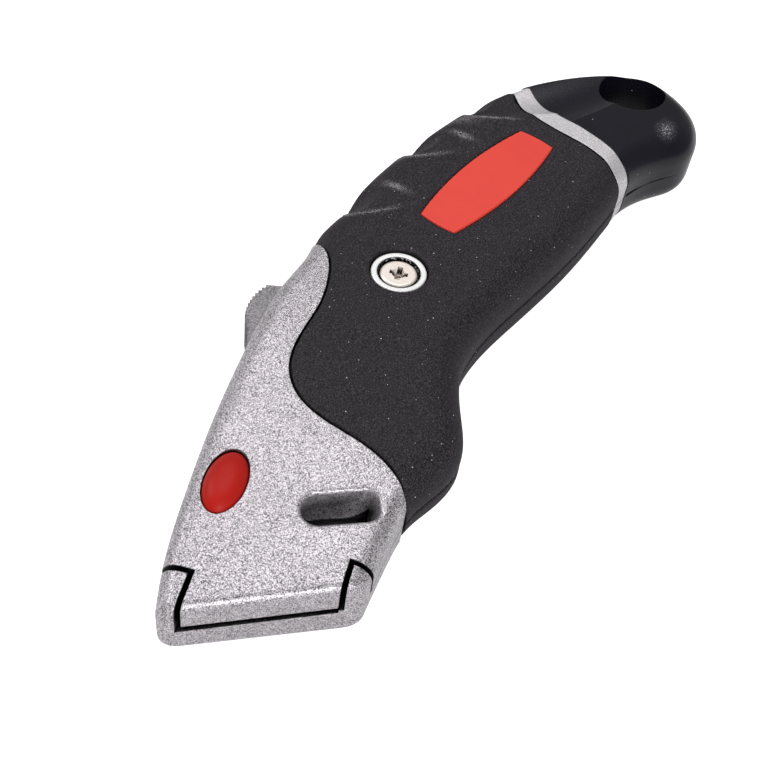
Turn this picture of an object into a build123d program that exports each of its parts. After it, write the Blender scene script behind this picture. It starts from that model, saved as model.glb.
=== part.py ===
from build123d import *
import os
from math import cos, sin, radians, sqrt

os.makedirs("parts", exist_ok=True)

# Retractable utility knife, in millimetres. The nose points along -X, the spine
# is towards +Y and the left face looks up along +Z. While building, the screw
# axis is at x = y = 0 and the parting plane between the two shells is at z = 0.

# Handle thickness: half thickness at the nose tip and over the flat of the grip
nose_x = -72.0
side_nose = 5.85
side_flat = 8.6
bend_x = -15.0
bend_run = 9.6

# Insets of each skin from the grip outline, and edge roundings
silver_inset = 0.25
silver_drop = 0.35
silver_round = 3.0
rubber_round = 6.0
rubber_thick = 1.8
core_round = 4.2
band_inset = 0.1
band_drop = 0.25
cap_inset = 0.35
cap_drop = 0.7
cap_round = 5.2
groove = 0.35
parting = 0.1

# Nose: the slanted front face, its edge rounding and the gap round the two ears
front_low = (-61.7, -5.9)
front_slope = -0.4606
front_round = 1.3
ear_gap = 0.85
upper_ear = (-65.3, 14.4)
lower_ear = (-57.4, -7.2)
blade_slot = 0.68

# Cord notch in the left shell: a rounded pocket with rolled lips, a ramp that rises to the belly,
# and a slit in its floor that bares the blade's edge
notch_at = (-49.9, 0.0)
notch_angle = -67.5
notch_wide = 5.3
notch_floor = 1.5
notch_round = 2.0
notch_lip = 0.7
ramp_at = 3.0
ramp_r = 6.0
slit_end = 7.7
slit_half = 1.2
slit_top = 4.0

# Standard trapezoid blade
blade_long = 61.0
blade_short = 33.0
blade_wide = 19.0
blade_thick = 0.6
blade_tip = -61.6
blade_edge = -5.3
blade_bevel = 2.4

# Travels
blade_travel = 25.0
thumb_travel = 1.2
button_travel = 1.2
magazine_travel = 50.0

# Thumb slider and its track along the spine
head_x = (-20.3, -5.4)
head_floor = 18.8
thumb_wide = 7.0
track_wide = 7.6
track_floor = 17.4
ledge_under = 16.4
stem_x = (-9.7, -6.0)
stem_wide = 3.0
rib_count = 13

# Red release button
button_x = -49.4
button_y = 14.3
button_long = 11.2
button_wide = 6.2
button_top = 8.1
button_round = 1.5

# Body screw and its cup
screw_r = 2.0
boss_r = 3.0
cup_r = 4.82
cup_bore = 3.7
cup_top = 8.1
head_r = 3.3
head_top = 7.8

# Rear handle: the magazine slides along this direction
tail_angle = -23.5
bay_wide = (-10.0, 13.0)
bay_half = 4.9
tray_wide = (-9.7, 12.7)
tray_half = 4.6
spare_count = 5

# Hanging hole in the tail
hole_at = (69.0, -33.6)
hole_r = 6.8

# Side view outlines, nose to tail
spine_points = [
    (-84, 14.4), (-71.6, 17.2), (-65, 18.65), (-52, 19.95), (-39, 20.45), (-22, 20.05), (-7, 18.35),
    (1.5, 16.5), (7.5, 16.15), (12.5, 14.45), (18, 13.2), (36.2, 6.7), (53.3, -2.4), (63.5, -10.3),
    (71.8, -19.7),
]
belly_points = [
    (55, -40.5), (41.8, -35.6), (23.5, -29.2), (5.8, -21.1), (-5, -16.4), (-14, -14.6),
    (-24, -16.5), (-31.5, -18.0), (-37.4, -16.0), (-43.2, -12.8), (-49.5, -11.4), (-61, -9.9), (-80, -7.6),
]
cap_points = [
    (53.6, -2.0), (63.9, -9.8), (71.6, -19.2), (76.9, -30.5), (77.4, -35.9), (74.3, -42.0),
    (64.6, -48.6), (56.8, -47.6), (52.0, -42.8), (47.4, -38.7), (41.8, -35.6), (32, -32.2),
]
# Edge between the silver nose and the rubber, and the two edges of the silver band
nose_edge = [
    (2.7, 22), (2.9, 18), (2.3, 15.15), (0.7, 13.2), (-3.9, 11.35), (-12, 10.8), (-20, 12.0), (-26.8, 11.5),
    (-31.2, 8.8), (-34, 4.8), (-37.3, -3.5), (-41.2, -9.2), (-44.8, -12.0), (-50, -15.5),
]
band_front = [
    (64, -5.3), (58.2, -10.6), (53.2, -14.0), (50.7, -17.6), (48.5, -22.0), (46.2, -26.8), (42.7, -31.2),
    (41.1, -33.0), (40.3, -34.8), (39.8, -38.5),
]
band_rear = [
    (68, -7.3), (62.2, -12.4), (57.0, -16.7), (53.9, -20.2), (52.4, -23.6), (50.4, -27.1), (47.6, -30.9),
    (45.4, -33.3), (44.2, -35.4), (43.4, -39),
]

# Thumb dents in the spine edge of each grip: the ridge where each starts, and the spine's direction there
dents = [((12.2, 14.7), -15.0), ((32.7, 8.1), -22.0), ((49.4, 0.3), -28.0)]
dent_r = 11.0
dent_deep = 1.2
dent_lean = 0.55

# Trough from the last dent across the band to the hanging hole
trough_from = (46.6, 3.7, 19.6)
trough_to = (hole_at[0], hole_at[1], 16.7)
trough_r = 11.0

# Wider hollow in the cap, from the band past the hanging hole
scoop_from = (59.5, -17.5, 21.8)
scoop_to = (67.9, -26.55, 22.7)
scoop_r = 16.0

# Plain badge in each grip: its middle along and across the rear handle, and its half sizes
badge_at = (30.9, 2.15)
badge_middle = 5.5
badge_end = 3.75
badge_long = 16.6
badge_bow = 0.35
badge_deep = 0.9

# Slit on the belly side of the cap where its two halves gape beside the band
slit_from = (45.4, -37.5)
slit_to = (55.6, -46.2)
slit_wide = 0.7
slit_deep = 0.9

far = 120


def span(p, q):
    return Line((p[0], p[1]), (q[0], q[1]))


# A curve through points, moved to its left by a distance
def curve(points, inset=0.0):
    line = Spline(*[(x, y) for x, y in points])
    if inset == 0.0:
        return line
    count = 3 * len(points)
    moved = []
    for i in range(count + 1):
        at = line.position_at(i / count)
        along = line.tangent_at(i / count)
        moved.append((at.X - along.Y * inset, at.Y + along.X * inset))
    return Spline(*moved)


def closed(*edges):
    loop = list(edges)
    links = []
    for i, edge in enumerate(loop):
        nxt = loop[(i + 1) % len(loop)]
        a, b = edge.position_at(1), nxt.position_at(0)
        if (a - b).length > 1e-6:
            links.append(Line(a, b))
    return make_face(loop + links)


def polygon(*points):
    return make_face(Polyline(*[(x, y) for x, y in points], close=True))


def prism(face, low, high):
    return extrude(Pos(0, 0, low) * face, amount=high - low)


def box(x0, x1, y0, y1, z0, z1):
    return Pos((x0 + x1) / 2, (y0 + y1) / 2, (z0 + z1) / 2) * Box(x1 - x0, y1 - y0, z1 - z0)


def rod(x, y, r, z0, z1):
    return Pos(x, y, (z0 + z1) / 2) * Cylinder(r, z1 - z0)


def oval(x, y, long, wide, z0, z1):
    return prism(Pos(x, y) * Ellipse(long / 2, wide / 2), z0, z1)


def flip(shape):
    return mirror(shape, about=Plane.XY)


# Everything under the left face, which tapers from the grip to the nose
def side_block(drop):
    low, high = side_nose - drop, side_flat - drop
    slope = (high - low) / (bend_x - nose_x)
    start = (nose_x - 20, 0, low - 20 * slope)
    turn = (bend_x - bend_run, 0, high - bend_run * slope)
    level = (bend_x + bend_run, 0, high)
    top = [Line(start, turn), TangentArc(turn, level, tangent=(1, 0, slope)), Line(level, (far, 0, high))]
    rest = Polyline((far, 0, high), (far, 0, 0), (start[0], 0, 0), start)
    return extrude(Pos(0, -far, 0) * make_face(top + rest.edges()), amount=2 * far, dir=(0, 1, 0))


# Left half of a skin: the outline up to the left face, with the long edges rounded
def rounded_half(face, drop, radius):
    body = extrude(face, amount=14) & side_block(drop)
    long_edges = [e for e in body.edges() if e.center().Z > 2 and e.geom_type != GeomType.LINE]
    return fillet(long_edges, radius)


def handle_half(inset, drop, radius):
    return rounded_half(closed(curve(spine_points, -inset), curve(belly_points, -inset)), drop, radius)


# Plan regions that part the silver nose, the rubber, the band and the cap
def region(points, side, inset=0.0):
    line = curve(points, inset)
    a, b = line.position_at(0), line.position_at(1)
    corners = Polyline((b.X, b.Y), (b.X, -far), (side * far, -far), (side * far, far), (a.X, far), (a.X, a.Y))
    return make_face([line, *corners.edges()])


nose_plan = region(nose_edge, -1)
behind_nose = region(nose_edge, 1, groove)
before_band = region(band_front, -1, -groove)
behind_front = region(band_front, 1)
before_rear = region(band_rear, -1)
behind_rear = region(band_rear, 1, groove)


def front_x(y):
    return front_low[0] + front_slope * (y - front_low[1])


# A place in the rear handle: along the magazine, then across it
def tail(along, across):
    a = radians(tail_angle)
    return (along * cos(a) - across * sin(a), along * sin(a) + across * cos(a))


def tail_box(s0, s1, t0, t1, z0, z1):
    return prism(polygon(tail(s0, t0), tail(s1, t0), tail(s1, t1), tail(s0, t1)), z0, z1)


# The skins of the left half; the right half mirrors them
behind_face = prism(polygon((front_x(40), 40), (far, 40), (far, -60), (front_x(-60), -60)), -1, 20)
nose = handle_half(silver_inset, silver_drop, silver_round) & behind_face


def on_front(edge):
    ends = [edge.position_at(0), edge.position_at(1)]
    return edge.center().Z > 0.2 and all(abs(p.X - front_x(p.Y)) < 1e-3 for p in ends)


nose = fillet([e for e in nose.edges() if on_front(e)], front_round) & prism(nose_plan, -1, 20)
core = handle_half(rubber_thick, rubber_thick, core_round)
band = handle_half(band_inset, band_drop, rubber_round)
rubber = handle_half(0.0, 0.0, rubber_round)
cap = rounded_half(closed(curve(cap_points, -cap_inset)), cap_drop, cap_round)

trough_axis = Line(trough_from, trough_to)
trough = Plane(origin=trough_axis.position_at(0.5), z_dir=trough_axis.tangent_at(0))
trough = trough * Cylinder(trough_r, trough_axis.length)
scoop = Plane(origin=scoop_to, z_dir=Vector(*scoop_to) - Vector(*scoop_from)) * Cylinder(scoop_r, 80)


# A cylinder that leans at 45 degrees against the rounded spine edge and starts at the ridge
def dent_cutter(ridge, angle):
    along = Vector(cos(radians(angle)), sin(radians(angle)), 0)
    out = Vector(-along.Y, along.X, 0)
    lean = (out + Vector(0, 0, 1)).normalized()
    edge = Vector(ridge[0], ridge[1], side_flat - rubber_round) + (lean - out) * rubber_round
    half_chord = sqrt(2 * dent_r * dent_deep)
    axis_at = edge + lean * (dent_r - dent_deep) + along * half_chord
    return Plane(origin=axis_at, z_dir=Vector(0, 0, 1) - out + along * dent_lean) * Cylinder(dent_r, 60)


# Blank of one shell: silver nose, core under the rubber, silver band
inner = core & prism(before_rear, -1, 20) & box(-44, far, -60, 40, -1, 20)
ring = (band & prism(behind_front, -1, 20) & prism(before_rear, -1, 20)) - trough
blank = nose + inner + ring

# The left nose has the cord notch, with the edges it makes on the face rolled over
notch_turn = Pos(*notch_at) * Rot(0, 0, notch_angle)
notch_half = notch_wide / 2
notch_sides = [
    ThreePointArc((0, -notch_half), (-notch_half, 0), (0, notch_half)),
    span((0, notch_half), (ramp_at, notch_half)),
    span((ramp_at, notch_half), (ramp_at, -notch_half)),
    span((ramp_at, -notch_half), (0, -notch_half)),
]
pocket = prism(make_face(notch_sides), notch_floor, 20)
floor_edges = pocket.edges().group_by(Axis.Z)[0]
pocket = fillet([e for e in floor_edges if e.center().X < ramp_at - 0.1], notch_round)
trench = Pos(0, notch_floor + ramp_r / 2) * Rectangle(notch_wide, ramp_r)
trench = fillet(trench.vertices().group_by(Axis.Y)[0], notch_round)
trench = Plane(origin=(ramp_at, 0, 0), x_dir=(0, 1, 0), z_dir=(1, 0, 0)) * trench
ramp = revolve(trench, axis=Axis((ramp_at, 0, notch_floor + ramp_r), (0, -1, 0)), revolution_arc=90)
pocket = notch_turn * (pocket + ramp)
notched = nose - pocket


# Edges that the pocket leaves on the outside of the nose
def on_notch(edge):
    p = edge.position_at(0.5)
    if p.Z < notch_floor + notch_round:
        return False
    here = Vertex(p.X, p.Y, p.Z)
    outside = min(face.distance_to(here) for face in nose.faces())
    inside = min(face.distance_to(here) for face in pocket.faces())
    return outside < 0.01 and inside < 0.01


notched = fillet([e for e in notched.edges() if on_notch(e)], notch_lip)

# Hollows that both shells share
channel = polygon((-57.4, ledge_under), (-2.4, ledge_under), (-2.4, 5), (1.2, 1), (1.2, -6.2), (-46.8, -6.2))
slot_plan = polygon((front_x(14.4) - 5, 14.4), (-40, 14.4), (-40, -6.5), (front_x(-6.5) - 5, -6.5))
bay = tail_box(6.4, 90, bay_wide[0], bay_wide[1], -1, bay_half)
belly_hollow = prism(polygon((-40, -8), (-4, -8), (-4, -11.4), (-24, -11.8), (-38, -11.6)), -1, 4.8)
side_hollow = prism(polygon((-36, 9.5), (-15, 8.8), (-8, 5), (-8, -4.8), (-30, -4.8), (-34, 4)), -1, 4.9)
track = box(head_x[0] - blade_travel - 0.3, head_x[1] + 0.3, track_floor, 30, -track_wide / 2, track_wide / 2)
stem_slot = box(stem_x[0] - blade_travel - 0.3, stem_x[1] + 0.3, 15, 30, -1.8, 1.8)
shared = [prism(slot_plan, -1, blade_slot), bay, belly_hollow, side_hollow, track, stem_slot]

# Ears of the right shell at the two front corners
upper = polygon((-90, upper_ear[1]), (upper_ear[0], upper_ear[1]), (upper_ear[0], 40), (-90, 40))
lower = polygon((-90, lower_ear[1]), (lower_ear[0], lower_ear[1]), (lower_ear[0] - 1.6, -30), (-90, -30))
upper_gap = box(-90, upper_ear[0] + ear_gap, upper_ear[1] - ear_gap, 40, -1, 20)
gap_at = (lower_ear[0] + ear_gap, lower_ear[1] + ear_gap)
lower_gap = prism(polygon((-90, gap_at[1]), gap_at, (gap_at[0] - 1.6, -30), (-90, -30)), -1, 20)
rim = box(-far, far, -far, far, -1, parting)

# Left shell
left_shell = notched + inner + ring - shared - rim
left_shell -= prism(channel, -1, 1.6)
left_shell -= prism(channel & polygon((-39.2, 30), (10, 30), (10, -10), (-39.2, -10)), -1, 2.9)
left_shell -= [upper_gap, lower_gap]
left_shell += rod(0, 0, boss_r, 0, 5.0)
left_shell -= [rod(0, 0, cup_r + 0.03, 5.0, 20), rod(0, 0, screw_r + 0.2, -1, 20)]
left_shell -= oval(button_x, button_y, button_long + 0.4, button_wide + 0.4, 1, 20)
left_shell -= oval(button_x, button_y, 13.4, 7.3, 1, 3.85)
left_shell -= box(button_x - 8.4, button_x + 8.4, button_y - 1.7, button_y + 1.7, 2.2, 2.8)
left_shell -= notch_turn * box(-notch_half + 0.8, slit_end, -slit_half, slit_half, -1, slit_top)

# Right shell
ears = (nose & prism(upper, -1, 20)) + (nose & prism(lower, -1, 20))
nose_hollow = prism(polygon((-54, 13), (-38, 13), (-36, 9.5), (-34, 4), (-38, -4.8), (-46, -4.8)), -1, 4.2)
right_shell = blank - shared - rim - prism(channel, -1, 2.9) - nose_hollow + rod(0, 0, boss_r, 0, 6.0)
right_shell = flip(right_shell)
foot = prism(upper, -parting, 0.1) + prism(lower, -parting, 0.1)
right_shell += ears + (foot & (nose + flip(nose)))
right_shell -= rod(0, 0, screw_r, -5.5, 1)

# Rubber grips with their dents, and the plain badge set into each
def badge_plan(grow):
    long, end, middle = badge_long + grow, badge_end + grow, badge_middle + grow
    sides = [
        ThreePointArc((-long, -end), (0, -middle), (long, -end)),
        ThreePointArc((long, -end), (long + badge_bow, 0), (long, end)),
        ThreePointArc((long, end), (0, middle), (-long, end)),
        ThreePointArc((-long, end), (-long - badge_bow, 0), (-long, -end)),
    ]
    return Pos(*tail(*badge_at)) * Rot(0, 0, tail_angle) * make_face(sides)


def make_badge(top):
    slab = prism(badge_plan(-0.05), side_flat - badge_deep, top)
    return fillet(slab.edges().group_by(Axis.Z)[-1], 0.25)


grip = (rubber & prism(behind_nose, -1, 20) & prism(before_band, -1, 20)) - core - rim
for ridge, angle in dents:
    grip -= dent_cutter(ridge, angle)
grip -= trough
grip -= prism(badge_plan(0.0), side_flat - badge_deep, 20)
left_grip = grip - rod(0, 0, cup_r + 0.25, -1, 20)
right_grip = flip(grip)
left_badge = make_badge(side_flat + 0.05)
right_badge = flip(make_badge(side_flat - 0.05))

# Cup washer and the one body screw
screw_cup = rod(0, 0, cup_r, 5.0, cup_top) - rod(0, 0, cup_bore, 6.2, 9) - rod(0, 0, screw_r + 0.2, 4, 9)
screw_cup = fillet(screw_cup.edges().group_by(Axis.Z)[-1], 0.3)
head = fillet(rod(0, 0, head_r, 6.2, head_top).edges().group_by(Axis.Z)[-1], 0.6)
cross = Box(3.2, 0.9, 1.6) + Box(0.9, 3.2, 1.6) + Pos(0, 0, -0.4) * Cone(0.5, 1.2, 1.6)
body_screw = head + rod(0, 0, screw_r - 0.01, -5.2, 6.3) - Pos(0, 0, head_top - 0.4) * cross


# Trapezoid blade with a bevelled cutting edge and two notches in its back
def make_blade():
    half = blade_thick / 2
    edge, back = 0.0, blade_wide
    section = Polyline((0, edge, -0.03), (0, edge + blade_bevel, -half), (0, back, -half), (0, back, half),
                       (0, edge + blade_bevel, half), (0, edge, 0.03), close=True)
    strip = extrude(make_face(section), amount=blade_long, dir=(1, 0, 0))
    inset = (blade_long - blade_short) / 2
    plan = polygon((0, edge), (blade_long, edge), (blade_long - inset, back), (inset, back))
    shape = strip & prism(plan, -1, 1)
    for side in (-4.2, 4.2):
        mid = blade_long / 2 + side
        shape -= box(mid - 1.5, mid + 1.5, back - 2.6, back + 1, -1, 1)
    return shape


blade = Pos(blade_tip, blade_edge, 0) * make_blade()

# Carrier: a plate beside the blade, a bar over its back, and a block for the thumb slider
carrier_top = ledge_under - 0.4
foot_top = ledge_under - 0.3
foot_under = foot_top - 1.2
plate = polygon((-31, carrier_top), (-3, carrier_top), (-3, 6.2), (-6.2, 3.8), (-6.2, -4.9), (-21.2, -4.9))
bar = box(-31, -13.8, 13.9, carrier_top, -0.4, 0.3)
block = polygon((-13.8, carrier_top), (-3, carrier_top), (-3, 6.2), (-8.7, 6.2), (-13.8, 13.1))
blade_carrier = prism(plate, -2.6, -0.3) + bar + prism(block, -2.6, 2.6)
blade_carrier -= box(stem_x[0] - 0.3, stem_x[1] + 0.3, 9.0, 20, -1.8, 1.8)
blade_carrier -= box(stem_x[0] - 1.3, stem_x[1] + 1.3, foot_under - thumb_travel - 0.3, 20, -5, 5)
rivet_at = (-22.5, 14.95)
blade_carrier -= rod(rivet_at[0], rivet_at[1], 0.8, -5, 5)

# Spring clip that keeps the blade in the carrier by its back notch, and the rivet that holds the clip
notch_mid = blade_tip + blade_long / 2 + 4.2
leaf = polygon((-30.4, carrier_top), (-18, carrier_top), (-18, 10.2), (-27.6, 10.2))
blade_clip = prism(leaf, 0.3, 0.8) + box(notch_mid - 1.2, notch_mid + 1.2, 11.4, 13.4, -0.3, 0.4)
blade_clip -= rod(rivet_at[0], rivet_at[1], 0.8, -5, 5)
rivet_head = rod(rivet_at[0], rivet_at[1], 1.05, 0.8, 1.25)
clip_rivet = rod(rivet_at[0], rivet_at[1], 0.8, -2.5, 0.9)
clip_rivet += fillet(rivet_head.edges().group_by(Axis.Z)[-1], 0.25)

# Thumb slider: ribbed head in the spine track, stem through the slot, foot under the ledge
ribbed = ThreePointArc((-17.3, 21.2), (-11.6, 23.1), (-6.0, 21.5))
front_ramp = Line((head_x[0], head_floor), ribbed.position_at(0))
back_wall = Line(ribbed.position_at(1), (head_x[1], head_floor))
underside = Line((head_x[1], head_floor), (head_x[0], head_floor))
thumb_slider = prism(make_face([front_ramp, ribbed, back_wall, underside]), -thumb_wide / 2, thumb_wide / 2)
for i in range(rib_count):
    p = ribbed.position_at((i + 0.5) / rib_count)
    thumb_slider -= rod(p.X, p.Y + 0.05, 0.4, -5, 5)
thumb_slider += box(stem_x[0], stem_x[1], 13.2, head_floor + 0.2, -stem_wide / 2, stem_wide / 2)
thumb_slider += box(stem_x[0] - 1.0, stem_x[1] + 1.0, foot_under, foot_top, -2.3, 2.3)
spring_path = Helix(pitch=0.95, height=3.4, radius=1.2)
wire = Plane(origin=spring_path.position_at(0), z_dir=spring_path.tangent_at(0)) * Circle(0.22)
coil = sweep(wire, path=spring_path)
slider_spring = Pos(sum(stem_x) / 2, 9.35, 0) * Rot(-90, 0, 0) * coil

# Release button and the leaf spring under it
dome = oval(button_x, button_y, button_long, button_wide, 2.9, button_top)
dome = fillet(dome.edges().group_by(Axis.Z)[-1], button_round)
release_button = dome + oval(button_x, button_y, 13.0, 7.0, 2.9, 3.7)
release_spring = box(button_x - 8.2, button_x + 8.2, button_y - 1.5, button_y + 1.5, 2.55, 2.75)

# Tail magazine: the glossy cap, the tray, the nest for spare blades and the hanging hole
cap_half = (cap - scoop) & prism(behind_rear, -1, 20)
magazine = cap_half + flip(cap_half) + tail_box(7.0, 62, tray_wide[0], tray_wide[1], -tray_half, tray_half)
nest = polygon(tail(8.2, 11.25), tail(70.2, 11.25), tail(56.2, -8.25), tail(8.2, -8.25))
magazine -= prism(nest, -3.1, 1.0)
magazine -= tail_box(8.2, 50, -8.25, 11.25, -3.1, 9)
magazine -= rod(hole_at[0], hole_at[1], hole_r, -20, 20)
slit_line = Vector(*slit_to) - Vector(*slit_from)
slit_plane = Plane(origin=slit_from, x_dir=slit_line, z_dir=Vector(-slit_line.Y, slit_line.X, 0))
wedge = make_face(Polyline((-1, -slit_wide / 2), (-1, slit_wide / 2), (slit_line.length, 0), close=True))
magazine -= extrude(slit_plane * wedge, amount=slit_deep, both=True)
at = tail(8.8, 11.0)
spare = {}
for i in range(spare_count):
    lying = Rot(0, 0, tail_angle) * Rot(180, 0, 0) * make_blade()
    spare["spare_blade_%d" % (i + 1)] = Pos(at[0], at[1], -3.1 + blade_thick * (i + 0.5)) * lying
top = -3.1 + blade_thick * spare_count
spare_clip = tail_box(26, 38, -8.25, 11.25, top, top + 0.4)
spare_clip += tail_box(26, 38, -8.25, -7.85, top, 3.6) + tail_box(26, 38, 10.85, 11.25, top, 3.6)

nodes = {
    "left_shell": left_shell, "right_shell": right_shell, "left_grip": left_grip, "right_grip": right_grip,
    "left_badge": left_badge, "right_badge": right_badge, "screw_cup": screw_cup, "body_screw": body_screw,
    "blade": blade, "blade_carrier": blade_carrier, "blade_clip": blade_clip, "clip_rivet": clip_rivet,
    "thumb_slider": thumb_slider, "slider_spring": slider_spring, "release_button": release_button,
    "release_spring": release_spring, "tail_magazine": magazine, "spare_clip": spare_clip, **spare,
}

# Final frame: origin under the middle of the overall box
boxes = [shape.bounding_box() for shape in nodes.values()]
low = [min(getattr(b.min, k) for b in boxes) for k in "XYZ"]
high = [max(getattr(b.max, k) for b in boxes) for k in "XYZ"]
shift = (-(low[0] + high[0]) / 2, -(low[1] + high[1]) / 2, -low[2])
print("size", [round(h - l, 2) for h, l in zip(high, low)], "shift", [round(v, 4) for v in shift])
for name, shape in nodes.items():
    export_step(Pos(*shift) * shape, "parts/%s.step" % name)
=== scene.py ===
import math
import bpy
from mathutils import Matrix, Vector


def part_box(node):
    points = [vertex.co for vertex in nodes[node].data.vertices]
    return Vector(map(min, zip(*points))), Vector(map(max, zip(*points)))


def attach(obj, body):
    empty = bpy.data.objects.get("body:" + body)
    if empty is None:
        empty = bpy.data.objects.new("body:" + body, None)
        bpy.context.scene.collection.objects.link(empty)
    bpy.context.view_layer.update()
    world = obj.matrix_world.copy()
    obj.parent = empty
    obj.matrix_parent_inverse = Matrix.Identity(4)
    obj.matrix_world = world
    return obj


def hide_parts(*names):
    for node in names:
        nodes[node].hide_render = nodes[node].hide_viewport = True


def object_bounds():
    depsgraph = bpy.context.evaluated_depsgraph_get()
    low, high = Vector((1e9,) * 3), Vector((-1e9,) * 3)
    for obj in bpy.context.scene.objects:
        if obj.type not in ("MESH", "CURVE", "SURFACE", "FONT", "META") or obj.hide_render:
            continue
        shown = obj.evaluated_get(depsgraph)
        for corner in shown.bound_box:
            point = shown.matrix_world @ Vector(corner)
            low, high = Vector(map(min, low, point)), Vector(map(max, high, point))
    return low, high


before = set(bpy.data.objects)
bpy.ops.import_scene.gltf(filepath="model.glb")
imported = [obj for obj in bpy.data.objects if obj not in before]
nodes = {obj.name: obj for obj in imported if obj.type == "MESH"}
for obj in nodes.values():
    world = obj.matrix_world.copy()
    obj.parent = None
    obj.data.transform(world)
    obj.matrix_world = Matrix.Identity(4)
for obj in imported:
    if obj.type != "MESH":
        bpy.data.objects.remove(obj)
cadLow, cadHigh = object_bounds()
print("frame loaded:", len(nodes), "nodes")

mm = 0.001
# where most of a noise value lies, and nearly all of it
midNoise = (0.3, 0.7)
wideNoise = (0.25, 0.75)
# The handle is laid out from the screw axis, on the plane where the two shells part
partingGap = 0.1 * mm
cupLow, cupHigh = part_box("screw_cup")
cupMiddle = (cupLow + cupHigh) / 2
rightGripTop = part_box("right_grip")[1].z
screwAxis = Vector((cupMiddle.x, cupMiddle.y, rightGripTop + partingGap))


def at(x, y, z=0.0):
    # a place in millimetres from the screw axis, as metres in the row frame
    return screwAxis + Vector((x, y, z)) * mm


def fromScrew(point):
    # the same, the other way round
    return (point - screwAxis) / mm


def newGroup(name, inputs, outputs):
    group = bpy.data.node_groups.new(name, "ShaderNodeTree")
    for label, value in inputs:
        socket = group.interface.new_socket(name=label, in_out="INPUT", socket_type="NodeSocketFloat")
        socket.default_value = value
    for label in outputs:
        group.interface.new_socket(name=label, in_out="OUTPUT", socket_type="NodeSocketFloat")
    return group, group.nodes.new("NodeGroupInput"), group.nodes.new("NodeGroupOutput")


def mathNode(tree, operation, a, b=None, c=None, clamp=False):
    node = tree.nodes.new("ShaderNodeMath")
    node.operation = operation
    node.use_clamp = clamp
    for i, value in enumerate((a, b, c)):
        if value is None:
            continue
        if isinstance(value, (int, float)):
            node.inputs[i].default_value = value
        else:
            tree.links.new(value, node.inputs[i])
    return node.outputs[0]


def rampNode(tree, value, low, high, lowTo=0.0, highTo=1.0):
    node = tree.nodes.new("ShaderNodeMapRange")
    node.interpolation_type = "SMOOTHSTEP"
    for key, number in (("From Min", low), ("From Max", high), ("To Min", lowTo), ("To Max", highTo)):
        node.inputs[key].default_value = number
    tree.links.new(value, node.inputs["Value"])
    return node.outputs["Result"]


def cellsNode(tree, place, scale):
    # random cells: their two first random numbers, and the distance to the cell's middle
    cells = tree.nodes.new("ShaderNodeTexVoronoi")
    tree.links.new(place, cells.inputs["Vector"])
    tree.links.new(scale, cells.inputs["Scale"])
    split = tree.nodes.new("ShaderNodeSeparateColor")
    tree.links.new(cells.outputs["Color"], split.inputs["Color"])
    return split.outputs[0], split.outputs[1], cells.outputs["Distance"]


def noiseNode(tree, place, scale, detail, roughness=0.6):
    noise = tree.nodes.new("ShaderNodeTexNoise")
    noise.inputs["Detail"].default_value = detail
    noise.inputs["Roughness"].default_value = roughness
    tree.links.new(place, noise.inputs["Vector"])
    tree.links.new(scale, noise.inputs["Scale"])
    return noise.outputs["Fac"]


def makeFlakeGroup():
    # metal flake in paint: fine and coarse cells, each with its own brightness and tilt
    inputs = [("Fine cells", 15000.0), ("Coarse cells", 8600.0), ("Spread", 0.12)]
    group, given, result = newGroup("metalFlake", inputs, ["Tone", "Height"])
    place = group.nodes.new("ShaderNodeTexCoord").outputs["Object"]
    fineTone, fineHeight, _ = cellsNode(group, place, given.outputs["Fine cells"])
    coarseTone, coarseHeight, _ = cellsNode(group, place, given.outputs["Coarse cells"])
    both = mathNode(group, "MULTIPLY_ADD", coarseTone, 0.5, mathNode(group, "MULTIPLY", fineTone, 0.5))
    centred = mathNode(group, "DIVIDE", mathNode(group, "SUBTRACT", both, 0.5), given.outputs["Spread"])
    tone = mathNode(group, "MULTIPLY_ADD", centred, 0.5, 0.5, clamp=True)
    group.links.new(tone, result.inputs["Tone"])
    height = mathNode(group, "ADD", fineHeight, coarseHeight)
    group.links.new(height, result.inputs["Height"])
    return group


def makeGrainGroup():
    # fine moulded grain, and a slow drift of tone over the piece
    group, given, result = newGroup("mouldGrain", [("Grain", 3500.0), ("Drift", 60.0)], ["Grain", "Drift"])
    place = group.nodes.new("ShaderNodeTexCoord").outputs["Object"]
    for label, detail in (("Grain", 3.0), ("Drift", 4.0)):
        noise = noiseNode(group, place, given.outputs[label], detail)
        group.links.new(noise, result.inputs[label])
    return group


def makeGrindGroup():
    # fine lines across the blade, as left by a grinding wheel
    group, given, result = newGroup("grindLines", [("Lines", 5200.0), ("Stretch", 0.02)], ["Tone"])
    place = group.nodes.new("ShaderNodeSeparateXYZ")
    group.links.new(group.nodes.new("ShaderNodeTexCoord").outputs["Object"], place.inputs[0])
    squeezed = group.nodes.new("ShaderNodeCombineXYZ")
    group.links.new(place.outputs["X"], squeezed.inputs["X"])
    for axis in ("Y", "Z"):
        short = mathNode(group, "MULTIPLY", place.outputs[axis], given.outputs["Stretch"])
        group.links.new(short, squeezed.inputs[axis])
    tone = noiseNode(group, squeezed.outputs[0], given.outputs["Lines"], 2.0)
    group.links.new(tone, result.inputs["Tone"])
    return group


def makeSpeckGroup():
    # pale specks: a share of the cells holds one, each of its own size
    inputs = [("Cells", 1300.0), ("Share", 0.5), ("Size", 0.2)]
    group, given, result = newGroup("paleSpecks", inputs, ["Mask"])
    place = group.nodes.new("ShaderNodeTexCoord").outputs["Object"]
    pick, size, distance = cellsNode(group, place, given.outputs["Cells"])
    chosen = mathNode(group, "LESS_THAN", pick, given.outputs["Share"])
    radius = mathNode(group, "MULTIPLY", size, given.outputs["Size"])
    inside = mathNode(group, "LESS_THAN", distance, radius)
    group.links.new(mathNode(group, "MULTIPLY", chosen, inside), result.inputs["Mask"])
    return group


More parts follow.
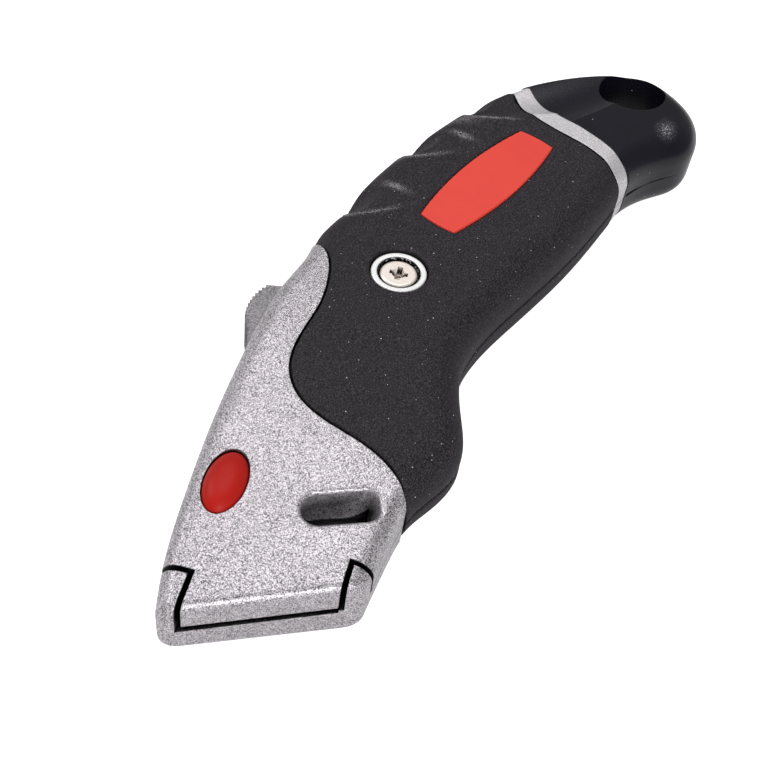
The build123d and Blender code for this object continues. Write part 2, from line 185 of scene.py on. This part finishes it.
flakeGroup = makeFlakeGroup()
grainGroup = makeGrainGroup()
grindGroup = makeGrindGroup()
speckGroup = makeSpeckGroup()


def startMaterial(name, **constants):
    material = bpy.data.materials.new(name)
    material.use_nodes = True
    tree = material.node_tree
    shader = tree.nodes["Principled BSDF"]
    for key, value in constants.items():
        shader.inputs[key].default_value = value
    return material, tree, shader


def placeGroup(tree, group, **values):
    node = tree.nodes.new("ShaderNodeGroup")
    node.node_tree = group
    for key, value in values.items():
        node.inputs[key].default_value = value
    return node.outputs


def mixColours(tree, factor, a, b):
    node = tree.nodes.new("ShaderNodeMix")
    node.data_type = "RGBA"
    tree.links.new(factor, node.inputs["Factor"])
    for label, value in (("A", a), ("B", b)):
        socket = [s for s in node.inputs if s.name == label and s.type == "RGBA"][0]
        if isinstance(value, tuple):
            socket.default_value = (*value, 1.0)
        else:
            tree.links.new(value, socket)
    return [s for s in node.outputs if s.type == "RGBA"][0]


def objectPlace(tree):
    return tree.nodes.new("ShaderNodeTexCoord").outputs["Object"]


def alongKnife(tree, start, end, highTo=1.0):
    # rises from 0 to highTo between two places along the knife, in millimetres from the screw axis
    place = tree.nodes.new("ShaderNodeSeparateXYZ")
    tree.links.new(objectPlace(tree), place.inputs[0])
    return rampNode(tree, place.outputs["X"], at(start, 0).x, at(end, 0).x, 0.0, highTo)


def patchMask(tree, middle, reach):
    # 1 in the middle of an oval patch, 0 at its rim
    value = objectPlace(tree)
    for operation, other in (("SUBTRACT", at(*middle)), ("DIVIDE", Vector(reach) * mm)):
        node = tree.nodes.new("ShaderNodeVectorMath")
        node.operation = operation
        node.inputs[1].default_value = other
        tree.links.new(value, node.inputs[0])
        value = node.outputs[0]
    length = tree.nodes.new("ShaderNodeVectorMath")
    length.operation = "LENGTH"
    tree.links.new(value, length.inputs[0])
    return rampNode(tree, length.outputs["Value"], 0.0, 1.0, 1.0, 0.0)


def fromAxis(tree, near, far):
    # rises from 0 to 1 between two distances from the screw axis, in millimetres
    place = tree.nodes.new("ShaderNodeVectorMath")
    place.operation = "SUBTRACT"
    place.inputs[1].default_value = screwAxis
    tree.links.new(objectPlace(tree), place.inputs[0])
    flat = tree.nodes.new("ShaderNodeVectorMath")
    flat.operation = "MULTIPLY"
    flat.inputs[1].default_value = (1.0, 1.0, 0.0)
    tree.links.new(place.outputs[0], flat.inputs[0])
    length = tree.nodes.new("ShaderNodeVectorMath")
    length.operation = "LENGTH"
    tree.links.new(flat.outputs[0], length.inputs[0])
    return rampNode(tree, length.outputs["Value"], near * mm, far * mm)


def openness(tree, reach, dark, clear, ownOnly=False, lift=None):
    # 0 in gaps and corners narrower than reach, 1 on open surface
    shade = tree.nodes.new("ShaderNodeAmbientOcclusion")
    shade.samples = 8
    shade.only_local = ownOnly
    shade.inputs["Distance"].default_value = reach * mm
    level = shade.outputs["AO"] if lift is None else mathNode(tree, "ADD", shade.outputs["AO"], lift)
    return rampNode(tree, level, dark, clear)


def addBump(tree, shader, height, distance, strength=1.0, edge=0.0):
    # surface grain, over edges that are softened by the given radius in millimetres
    bump = tree.nodes.new("ShaderNodeBump")
    bump.inputs["Strength"].default_value = strength
    bump.inputs["Distance"].default_value = distance * mm
    tree.links.new(height, bump.inputs["Height"])
    if edge:
        soften = tree.nodes.new("ShaderNodeBevel")
        soften.samples = 6
        soften.inputs["Radius"].default_value = edge * mm
        tree.links.new(soften.outputs["Normal"], bump.inputs["Normal"])
    tree.links.new(bump.outputs["Normal"], shader.inputs["Normal"])


silverPaint = {
    "light": (0.86, 0.81, 0.865), "dark": (0.055, 0.051, 0.057), "metallic": 0.6, "shine": 0.2,
    "grain": 2600.0, "drift": 90.0, "roughness": (0.33, 0.44), "coat": 0.15, "coatRoughness": 0.3,
    "bump": 0.02, "edge": 0.22,
    # the band by the tail is painted paler, partly a painted sheen: where along the knife it starts, and
    # how far its paler paint covers the coarse flake
    "band": (0.96, 0.925, 0.955), "bandFrom": (30.0, 34.0), "bandShare": 0.55,
    # painted shade: the notch is painted darker inwards, most of all at its inner end, where a painted
    # shadow lies
    "hollow": (0.030, 0.029, 0.034), "hollowShade": (7.0, 0.26, 0.56),
    "deepAt": (-46.8, -7.0, 3.9), "deepReach": (3.4, 3.4, 2.8),
    # painted shade: narrow gaps are painted black, less so behind the front end and round the button
    "gap": (0.002, 0.002, 0.002), "gapShade": (2.5, 0.60, 0.88), "rearLift": (-56.0, -52.0, 0.24),
    "buttonLift": 0.4, "buttonReach": (14.0, 10.0, 12.0),
}


def makeSilverPaint():
    s = silverPaint
    material, tree, shader = startMaterial("silverPaint", Metallic=s["metallic"])
    shader.inputs["Specular IOR Level"].default_value = s["shine"]
    shader.inputs["Coat Roughness"].default_value = s["coatRoughness"]
    flake = placeGroup(tree, flakeGroup)
    grain = placeGroup(tree, grainGroup, Grain=s["grain"], Drift=s["drift"])
    paint = mixColours(tree, flake["Tone"], s["dark"], s["light"])
    # painted sheen: the band by the tail is painted paler and smoother
    paint = mixColours(tree, alongKnife(tree, *s["bandFrom"], s["bandShare"]), paint, s["band"])
    # painted shade in the notch, and a painted shadow at its inner end
    paint = mixColours(tree, openness(tree, *s["hollowShade"], ownOnly=True), s["hollow"], paint)
    paint = mixColours(tree, patchMask(tree, s["deepAt"], s["deepReach"]), paint, s["gap"])
    low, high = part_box("release_button")
    nearButton = patchMask(tree, fromScrew((low + high) / 2), s["buttonReach"])
    lift = mathNode(tree, "MULTIPLY_ADD", nearButton, s["buttonLift"], alongKnife(tree, *s["rearLift"]))
    # painted shade: narrow gaps and corners are painted black
    clear = openness(tree, *s["gapShade"], lift=lift)
    tree.links.new(mixColours(tree, clear, s["gap"], paint), shader.inputs["Base Color"])
    tree.links.new(mathNode(tree, "MULTIPLY", clear, s["coat"]), shader.inputs["Coat Weight"])
    tree.links.new(rampNode(tree, grain["Drift"], *midNoise, *s["roughness"]), shader.inputs["Roughness"])
    addBump(tree, shader, flake["Height"], s["bump"], 0.5, s["edge"])
    return material


gripRubber = {
    "base": (0.0020, 0.0016, 0.0021), "pale": (0.042, 0.034, 0.0445), "mottle": (0.44, 0.58),
    "grain": 4200.0, "drift": 160.0, "roughness": (0.62, 0.78), "shine": 0.3, "bump": 0.05,
    "speck": (0.62, 0.60, 0.63), "fineShare": 0.25,
    "ridge": (0.46, 0.43, 0.45), "ridgeBreaks": (0.40, 0.60),
    # painted shadow at the seat of the screw's cup and painted shade in the grooves by the silver, both
    # painted dark
    "seatAndGrooveShade": (0.0008, 0.0008, 0.0008), "seat": (5.05, 5.30), "grooveShade": (1.4, 0.45, 0.80),
}


def makeGripRubber():
    s = gripRubber
    material, tree, shader = startMaterial("gripRubber")
    shader.inputs["Specular IOR Level"].default_value = s["shine"]
    grain = placeGroup(tree, grainGroup, Grain=s["grain"], Drift=s["drift"])
    colour = mixColours(tree, rampNode(tree, grain["Grain"], *s["mottle"]), s["base"], s["pale"])
    fine = placeGroup(tree, speckGroup, Cells=3400.0, Share=0.35, Size=0.24)
    coarse = placeGroup(tree, speckGroup, Cells=1250.0, Share=0.24, Size=0.14)
    # dust and a painted highlight along the ridges, broken up by the grain
    ridge = tree.nodes.new("ShaderNodeAttribute")
    ridge.attribute_name = "ridgeDustAndHighlight"
    breaks = rampNode(tree, grain["Grain"], *s["ridgeBreaks"])
    rubbedAndLit = mathNode(tree, "MULTIPLY", ridge.outputs["Fac"], breaks)
    colour = mixColours(tree, rubbedAndLit, colour, s["ridge"])
    faint = mathNode(tree, "MULTIPLY", fine["Mask"], s["fineShare"])
    colour = mixColours(tree, faint, colour, s["speck"])
    colour = mixColours(tree, coarse["Mask"], colour, s["speck"])
    # painted shadow round the cup's seat and painted shade in the grooves
    unshaded = mathNode(tree, "MULTIPLY", fromAxis(tree, *s["seat"]), openness(tree, *s["grooveShade"]))
    tree.links.new(mixColours(tree, unshaded, s["seatAndGrooveShade"], colour), shader.inputs["Base Color"])
    tree.links.new(rampNode(tree, grain["Grain"], *midNoise, *s["roughness"]), shader.inputs["Roughness"])
    addBump(tree, shader, grain["Grain"], s["bump"], 0.6)
    return material


# Moulded plastics: what they share, then what each has of its own
plainPlastic = {
    "roughness": 0.5, "roughSpread": 0.15, "shine": 0.5, "grain": 2500.0, "drift": 140.0, "bump": 0.01,
    "edge": 0.15, "specks": 0.0, "speck": (0.40, 0.40, 0.43), "scuffHighlight": None, "scuffHighlightColour": (0.60, 0.60, 0.64),
}
badgePlastic = {"base": (0.84, 0.068, 0.046), "shade": (0.80, 0.062, 0.043), "grain": 3000.0, "shine": 0.3}
buttonPlastic = {
    "base": (0.48, 0.013, 0.008), "shade": (0.46, 0.012, 0.008), "roughness": 0.46, "shine": 0.16,
}
# the scuffed patch with a painted highlight on the cap is a middle and a reach
capPlastic = {
    "base": (0.0064, 0.0057, 0.0122), "shade": (0.005, 0.0045, 0.0098), "roughness": 0.26, "shine": 0.3,
    "edge": 0.4, "specks": 0.06, "scuffHighlight": ((58.3, -41.4, 7.9), (5.2, 3.4, 4.0)),
}


def linkRoughness(tree, shader, grain, s):
    low, high = s["roughness"] * (1 - s["roughSpread"]), s["roughness"] * (1 + s["roughSpread"])
    tree.links.new(rampNode(tree, grain, *wideNoise, low, high), shader.inputs["Roughness"])


def makeMoulded(name, own):
    # smooth moulded plastic: a slight drift of colour, faint grain, maybe a few specks and a scuffed patch
    # with a painted highlight
    s = {**plainPlastic, **own}
    material, tree, shader = startMaterial(name)
    shader.inputs["Specular IOR Level"].default_value = s["shine"]
    grain = placeGroup(tree, grainGroup, Grain=s["grain"], Drift=s["drift"])
    colour = mixColours(tree, rampNode(tree, grain["Drift"], *midNoise), s["shade"], s["base"])
    if s["specks"]:
        paleMark = placeGroup(tree, speckGroup, Cells=1000.0, Share=s["specks"], Size=0.16)
        colour = mixColours(tree, paleMark["Mask"], colour, s["speck"])
    if s["scuffHighlight"]:
        # a scuffed patch with a painted highlight: pale speckled cells, brightest in its middle
        rubbedAndLit = placeGroup(tree, speckGroup, Cells=5200.0, Share=0.55, Size=0.6)
        patch = mathNode(tree, "POWER", patchMask(tree, *s["scuffHighlight"]), 2.0)
        litScuff = mathNode(tree, "MULTIPLY", mathNode(tree, "ADD", rubbedAndLit["Mask"], 0.10), patch)
        colour = mixColours(tree, litScuff, colour, s["scuffHighlightColour"])
    tree.links.new(colour, shader.inputs["Base Color"])
    linkRoughness(tree, shader, grain["Grain"], s)
    addBump(tree, shader, grain["Grain"], s["bump"], 0.5, s["edge"])
    return material


# Bare and plated metals, in the same way
plainMetal = {
    "metallic": 1.0, "roughSpread": 0.2, "grain": 1800.0, "drift": 200.0, "bump": 0.01, "edge": 0.1,
    "pattern": "Drift", "gap": 0.0, "gapDark": (0.01, 0.01, 0.01),
    "bore": 0.0, "boreDark": (0.004, 0.004, 0.004),
}
cupPlate = {
    "base": (0.97, 0.96, 0.96), "shade": (0.94, 0.93, 0.93), "roughness": 0.35, "metallic": 0.25,
    "bore": 3.8,
}
screwPlate = {
    "base": (0.92, 0.83, 0.76), "shade": (0.88, 0.79, 0.72), "roughness": 0.4, "metallic": 0.4,
    "gap": 1.2,
}
sliderAlloy = {
    "base": (0.44, 0.42, 0.44), "shade": (0.12, 0.115, 0.12), "roughness": 0.5, "grain": 3600.0,
    "bump": 0.1, "pattern": "Grain", "gap": 0.7,
}
bladeMetal = {
    "base": (0.52, 0.53, 0.55), "shade": (0.30, 0.31, 0.33), "roughness": 0.46, "metallic": 0.85,
    "pattern": "Ground",
}
carrierAlloy = {"base": (0.50, 0.50, 0.52), "shade": (0.38, 0.38, 0.40), "roughness": 0.45, "bump": 0.03}
springMetal = {"base": (0.34, 0.36, 0.40), "shade": (0.24, 0.25, 0.28), "roughness": 0.3}


def makeMetal(name, own):
    s = {**plainMetal, **own}
    material, tree, shader = startMaterial(name, Metallic=s["metallic"])
    grain = placeGroup(tree, grainGroup, Grain=s["grain"], Drift=s["drift"])
    tone = placeGroup(tree, grindGroup)["Tone"] if s["pattern"] == "Ground" else grain[s["pattern"]]
    colour = mixColours(tree, rampNode(tree, tone, *midNoise), s["shade"], s["base"])
    # painted shade in narrow recesses, such as the screw's cross and between the slider's ribs
    if s["gap"]:
        colour = mixColours(tree, openness(tree, s["gap"], 0.3, 0.7), s["gapDark"], colour)
    if s["bore"]:
        # painted shade in the gap round the screw's head, in broken flecks
        flecks = rampNode(tree, grain["Grain"], 0.52, 0.66, 0.0, 0.6)
        unshaded = mathNode(tree, "MAXIMUM", fromAxis(tree, s["bore"] - 0.06, s["bore"] + 0.06), flecks)
        colour = mixColours(tree, unshaded, s["boreDark"], colour)
    tree.links.new(colour, shader.inputs["Base Color"])
    linkRoughness(tree, shader, grain["Grain"], s)
    addBump(tree, shader, grain["Grain"], s["bump"], 0.4, s["edge"])
    return material


silver = makeSilverPaint()
rubber = makeGripRubber()
badgeRed = makeMoulded("badgeRed", badgePlastic)
buttonRed = makeMoulded("buttonRed", buttonPlastic)
capBlack = makeMoulded("capBlack", capPlastic)
brightPlate = makeMetal("brightPlate", cupPlate)
nickelPlate = makeMetal("nickelPlate", screwPlate)
sliderGrey = makeMetal("sliderGrey", sliderAlloy)
bladeSteel = makeMetal("bladeSteel", bladeMetal)
castAlloy = makeMetal("castAlloy", carrierAlloy)
springSteel = makeMetal("springSteel", springMetal)

finishes = {
    "left_shell": silver, "right_shell": silver, "left_grip": rubber, "right_grip": rubber,
    "left_badge": badgeRed, "right_badge": badgeRed, "screw_cup": brightPlate, "body_screw": nickelPlate,
    "blade": bladeSteel, "blade_carrier": castAlloy, "blade_clip": springSteel, "clip_rivet": nickelPlate,
    "thumb_slider": sliderGrey, "slider_spring": springSteel, "release_button": buttonRed,
    "release_spring": springSteel, "tail_magazine": capBlack, "spare_clip": springSteel,
}
for name, piece in nodes.items():
    piece.data.materials.clear()
    piece.data.materials.append(finishes.get(name, bladeSteel))
print("finishes set:", len(bpy.data.materials))


def newPiece(name, mesh, finish):
    piece = bpy.data.objects.new(name, mesh)
    bpy.context.scene.collection.objects.link(piece)
    mesh.materials.clear()
    mesh.materials.append(finish)
    return piece


def settle(piece):
    # applies the modifiers that are on the piece
    graph = bpy.context.evaluated_depsgraph_get()
    mesh = bpy.data.meshes.new_from_object(piece.evaluated_get(graph))
    piece.modifiers.clear()
    piece.data = mesh


# Soft grips: edges eased over, and the pinched ridge where each thumb dent starts. A ridge has its
# start on the spine, a point and a slope that it follows, and where it fades. A smear is dust rubbed
# into the rubber with a painted highlight over it: its middle, direction, reach and share
softGrip = {
    "voxel": 0.36, "smooth": 3, "drop": 0.42, "dropRun": 1.8, "raise": 0.16, "raiseRun": 1.5,
    "ridgeMarkWide": 0.30, "pastSpine": 5.0, "acrossRidge": 8.0, "facing": 1.5,
    "ridges": [
        ((10.4, 14.7), (16.4, 2.8, 8.6), (0.576, 0.370, 0.729), (6.5, 14.0)),
        ((29.7, 8.1), (35.2, -3.2, 8.6), (0.561, 0.316, 0.765), (6.0, 13.0)),
        ((46.1, 0.3), (50.1, -14.4, 8.6), (0.569, 0.162, 0.806), (8.0, 15.0)),
    ],
    "smears": [
        ((21.1, 5.6), (-0.22, -0.97), (2.2, 0.75), 0.75), ((40.5, -3.0), (-0.25, -0.97), (2.2, 0.75), 0.75),
        ((12.4, 12.4), (0.54, -0.84), (2.2, 0.6), 0.6), ((31.0, 6.0), (0.49, -0.87), (2.2, 0.6), 0.5),
        ((46.0, -2.0), (0.27, -0.96), (3.0, 1.5), 0.45),
    ],
}


def smoothStep(low, high, value):
    t = min(max((value - low) / (high - low), 0.0), 1.0)
    return t * t * (3 - 2 * t)


def ridgeShape(x, y, z):
    # how far the surface moves out here, and how much dust and painted highlight lies on it
    s = softGrip
    place = Vector((x, y, z))
    move, paleMark = 0.0, 0.0
    for start, point, slope, fade in s["ridges"]:
        along = Vector((slope[1], -slope[0])).normalized()
        inward = (Vector((x, y)) - Vector(start)).dot(along)
        behind = (place - Vector(point)).dot(Vector(slope))
        if inward < -s["pastSpine"] or inward > fade[1] or abs(behind) > s["acrossRidge"]:
            continue
        weight = 1 - smoothStep(*fade, inward)
        if behind > 0:
            move -= weight * s["drop"] * math.exp(-behind / s["dropRun"])
        else:
            move += weight * s["raise"] * math.exp(behind / s["raiseRun"])
        paleMark = max(paleMark, weight * math.exp(-(behind / s["ridgeMarkWide"]) ** 2))
    for middle, along, reach, share in s["smears"]:
        off = Vector((x, y)) - Vector(middle)
        long = off.dot(Vector(along)) / reach[0]
        wide = (off.x * along[1] - off.y * along[0]) / reach[1]
        paleMark = max(paleMark, share * math.exp(-long * long - wide * wide))
    return move, paleMark


def makeSoftGrip(name, node, up):
    s = softGrip
    piece = newPiece(name, nodes[node].data.copy(), rubber)
    remesh = piece.modifiers.new("remesh", "REMESH")
    remesh.mode = "VOXEL"
    remesh.voxel_size = s["voxel"] * mm
    ease = piece.modifiers.new("ease", "SMOOTH")
    ease.factor = 0.5
    ease.iterations = s["smooth"]
    settle(piece)
    mesh = piece.data
    # dust and painted highlight along the ridges and smears, kept for each point
    ridgeMarkOn = mesh.attributes.new("ridgeDustAndHighlight", "FLOAT", "POINT")
    moves = []
    for vertex in mesh.vertices:
        place = fromScrew(vertex.co)
        normal = vertex.normal
        outside = min(max((normal.y + normal.z * up) * s["facing"], 0.0), 1.0)
        move, paleMark = ridgeShape(place.x, place.y, abs(place.z))
        ridgeMarkOn.data[vertex.index].value = paleMark * outside
        moves.append((vertex.index, normal * (move * outside * mm)))
    for index, shift in moves:
        mesh.vertices[index].co += shift
        # nothing goes through the plane that the knife lies on
        mesh.vertices[index].co.z = max(mesh.vertices[index].co.z, cadLow.z)
    mesh.shade_smooth()
    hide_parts(node)
    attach(piece, "handle")


makeSoftGrip("softGripLeft", "left_grip", 1)
makeSoftGrip("softGripRight", "right_grip", -1)
print("grips eased")

# Release button: a smooth oval dome over its flange
domeButton = {
    "long": 11.44, "wide": 6.44, "flange": 0.8, "shoulder": 0.44, "power": 2.5, "rings": 14, "sides": 72,
}


def makeDomeButton():
    s = domeButton
    low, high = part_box("release_button")
    middle = (low + high) / 2
    halfLong, halfWide = s["long"] / 2 * mm, s["wide"] / 2 * mm
    flangeLong, flangeWide = (high.x - low.x) / 2, (high.y - low.y) / 2
    flangeTop = low.z + s["flange"] * mm
    shoulder = low.z + (high.z - low.z) * s["shoulder"]
    rings = [(flangeLong, flangeWide, low.z), (flangeLong, flangeWide, flangeTop)]
    rings.append((halfLong, halfWide, flangeTop))
    for i in range(s["rings"]):
        angle = i / s["rings"] * math.pi / 2
        shrink = math.cos(angle) ** (2 / s["power"])
        rise = math.sin(angle) ** (2 / s["power"])
        rings.append((halfLong * shrink, halfWide * shrink, shoulder + (high.z - shoulder) * rise))
    points, faces = [], []
    for long, wide, z in rings:
        for k in range(s["sides"]):
            turn = 2 * math.pi * k / s["sides"]
            points.append((middle.x + long * math.cos(turn), middle.y + wide * math.sin(turn), z))
    for i in range(len(rings) - 1):
        for k in range(s["sides"]):
            a, b = i * s["sides"] + k, i * s["sides"] + (k + 1) % s["sides"]
            faces.append((a, b, b + s["sides"], a + s["sides"]))
    top = len(points)
    points.append((middle.x, middle.y, high.z))
    last = (len(rings) - 1) * s["sides"]
    faces += [(last + k, last + (k + 1) % s["sides"], top) for k in range(s["sides"])]
    faces.append(tuple(reversed(range(s["sides"]))))
    mesh = bpy.data.meshes.new("domeButton")
    mesh.from_pydata(points, [], faces)
    mesh.shade_smooth()
    piece = newPiece("domeButton", mesh, buttonRed)
    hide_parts("release_button")
    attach(piece, "release")


makeDomeButton()
print("button domed")

# Each lamp has its place, width and power
studio = {
    "floor": (0.55, 0.55, 0.55), "floorHalf": 3.0, "floorDrop": 0.02, "glow": 0.94, "mirrored": 0.38,
    "world": 0.28,
    "lamps": {
        "topLight": ((0.28, 0.08, 0.76), 0.55, 2.35),
        "backLight": ((0.12, 0.72, 0.62), 0.25, 2.4),
        "frontLight": ((-0.75, -0.35, 0.36), 0.5, 4.9),
    },
}


def makeFloor():
    size = studio["floorHalf"]
    corners = [(-size, -size, 0), (size, -size, 0), (size, size, 0), (-size, size, 0)]
    mesh = bpy.data.meshes.new("floor")
    mesh.from_pydata(corners, [], [(0, 1, 2, 3)])
    material, tree, shader = startMaterial("floorWhite", Roughness=0.9)
    shader.inputs["Base Color"].default_value = (*studio["floor"], 1)
    shader.inputs["Specular IOR Level"].default_value = 0.0
    shader.inputs["Emission Color"].default_value = (1, 1, 1, 1)
    light = tree.nodes.new("ShaderNodeLightPath")
    mirrored = mathNode(tree, "MULTIPLY", light.outputs["Is Glossy Ray"], studio["mirrored"])
    glow = mathNode(tree, "MULTIPLY_ADD", light.outputs["Is Camera Ray"], studio["glow"], mirrored)
    tree.links.new(glow, shader.inputs["Emission Strength"])
    floor = newPiece("floor", mesh, material)
    floor.location.z = -studio["floorDrop"] * mm


def makeWorld():
    world = bpy.data.worlds.new("studioWhite")
    bpy.context.scene.world = world
    world.use_nodes = True
    tree = world.node_tree
    back = tree.nodes["Background"]
    light = tree.nodes.new("ShaderNodeLightPath")
    seen = light.outputs["Is Camera Ray"]
    strength = mathNode(tree, "MULTIPLY_ADD", seen, 1.0 - studio["world"], studio["world"])
    tree.links.new(strength, back.inputs["Strength"])
    back.inputs["Color"].default_value = (1, 1, 1, 1)


def softLight(name, place, size, power):
    lamp = bpy.data.lights.new(name, "AREA")
    lamp.shape = "DISK"
    lamp.size = size
    lamp.energy = power
    light = bpy.data.objects.new(name, lamp)
    bpy.context.scene.collection.objects.link(light)
    light.location = place
    light.rotation_euler = (-Vector(place)).to_track_quat("-Z", "Y").to_euler()


# The photograph's view: the eye in millimetres from the screw axis, and the picture's right and up
photoView = {
    "eye": (-147.7, -18.2, 148.86), "right": (0.23536, -0.96666, 0.10093),
    "up": (0.72062, 0.24325, 0.64926), "focalPixels": 1200, "framePixels": 773,
}


def makeCamera():
    s = photoView
    camera = bpy.data.cameras.new("photoView")
    camera.sensor_width = 36.0
    camera.lens = s["focalPixels"] * camera.sensor_width / s["framePixels"]
    camera.clip_start = 0.01
    right = Vector(s["right"]).normalized()
    up = Vector(s["up"])
    up = (up - up.project(right)).normalized()
    turn = Matrix((right, up, right.cross(up))).transposed()
    eye = bpy.data.objects.new("photoView", camera)
    bpy.context.scene.collection.objects.link(eye)
    eye.matrix_world = Matrix.Translation(at(*s["eye"])) @ turn.to_4x4()
    bpy.context.scene.camera = eye


makeFloor()
makeWorld()
for name, (place, size, power) in studio["lamps"].items():
    softLight(name, place, size, power)
makeCamera()
bpy.context.scene.view_settings.view_transform = "Standard"
print("studio ready")
